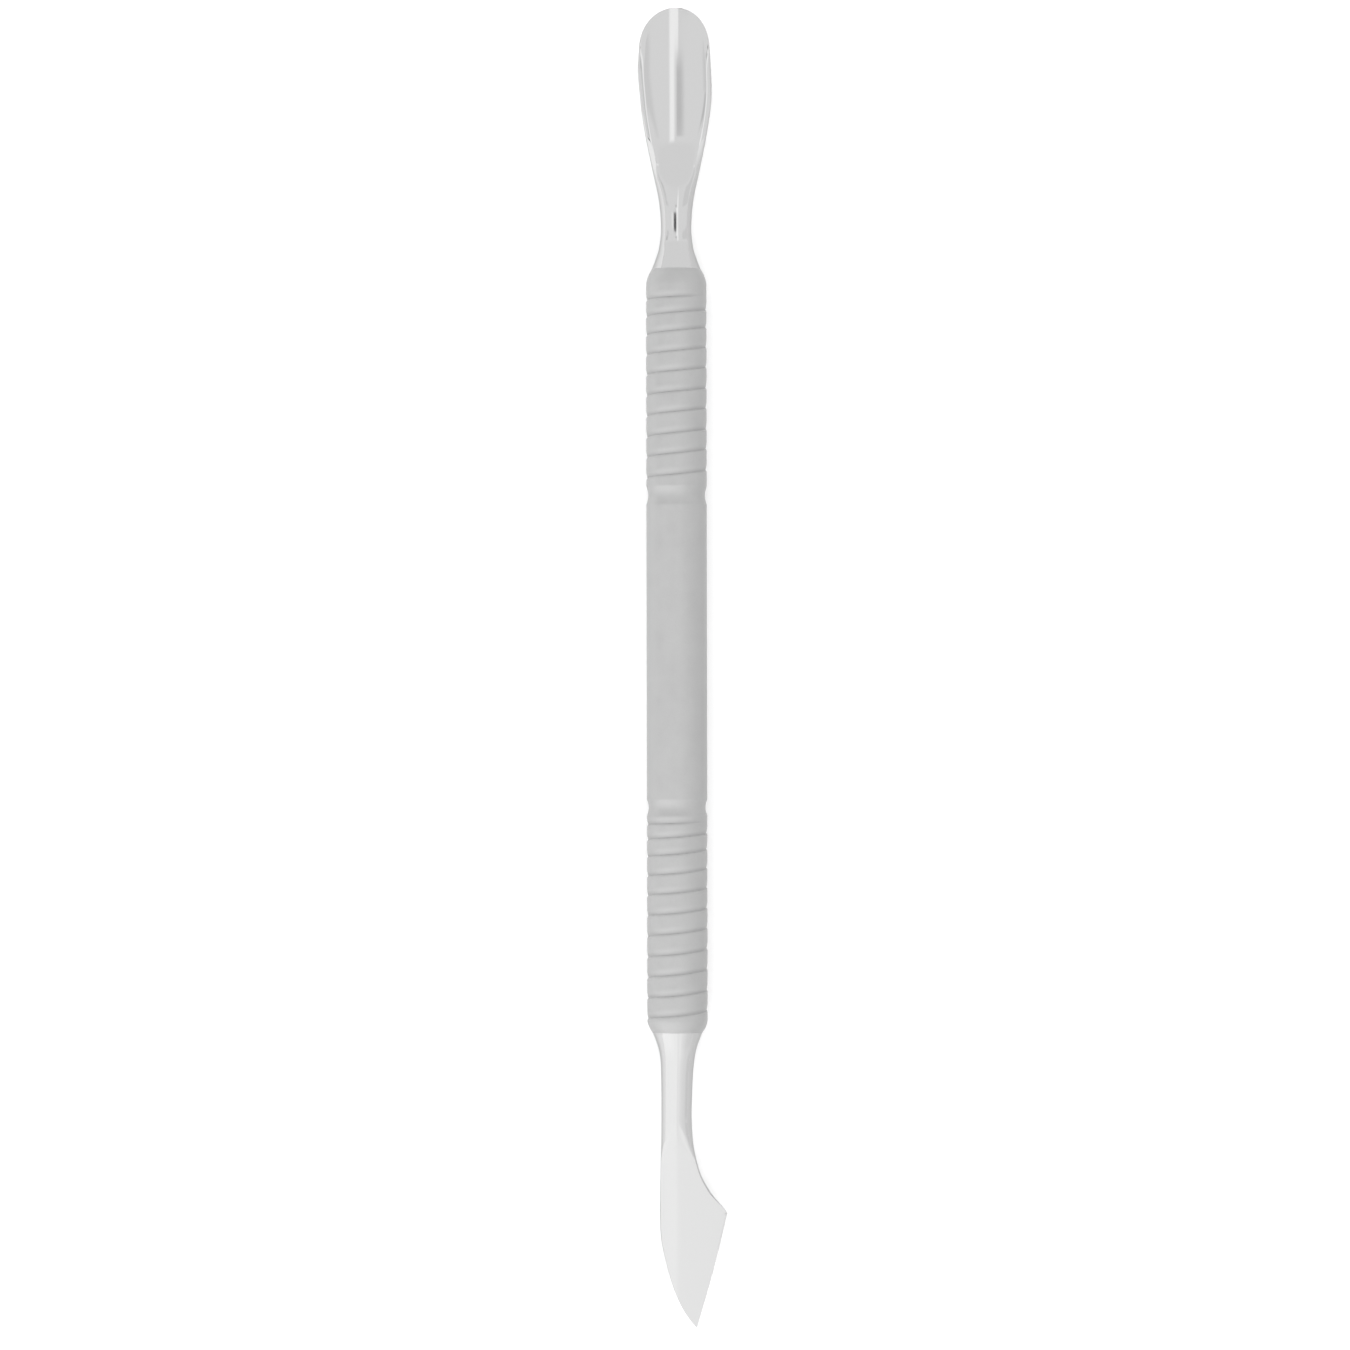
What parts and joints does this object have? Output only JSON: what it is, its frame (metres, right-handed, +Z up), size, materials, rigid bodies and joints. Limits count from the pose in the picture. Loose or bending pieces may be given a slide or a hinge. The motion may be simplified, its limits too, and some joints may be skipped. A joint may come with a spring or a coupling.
{
  "type": "cuticle pusher",
  "caption": "Double-ended steel cuticle pusher: scooped pusher tip, grooved hollow handle and flat pointed cleaner blade.",
  "frame": {"origin": "on the plane that the tool lies on, under the handle's axis, midway between the two tips", "axes": "+X along the handle towards the scooped pusher tip, +Z up out of the scoop's hollow face, +Y away from the cleaner's cutting edge"},
  "size_m": [0.135, 0.0088, 0.0061],
  "materials": {
    "satin_steel": "satin",
    "polished_steel": "polished",
    "silver_braze": "satin"
  },
  "bodies": {
    "root": {"handle_tube": "satin_steel", "pusher_end": "polished_steel", "cleaner_end": "polished_steel", "pusher_braze_ring": "silver_braze", "cleaner_braze_ring": "silver_braze"}
  },
  "joints": []
}
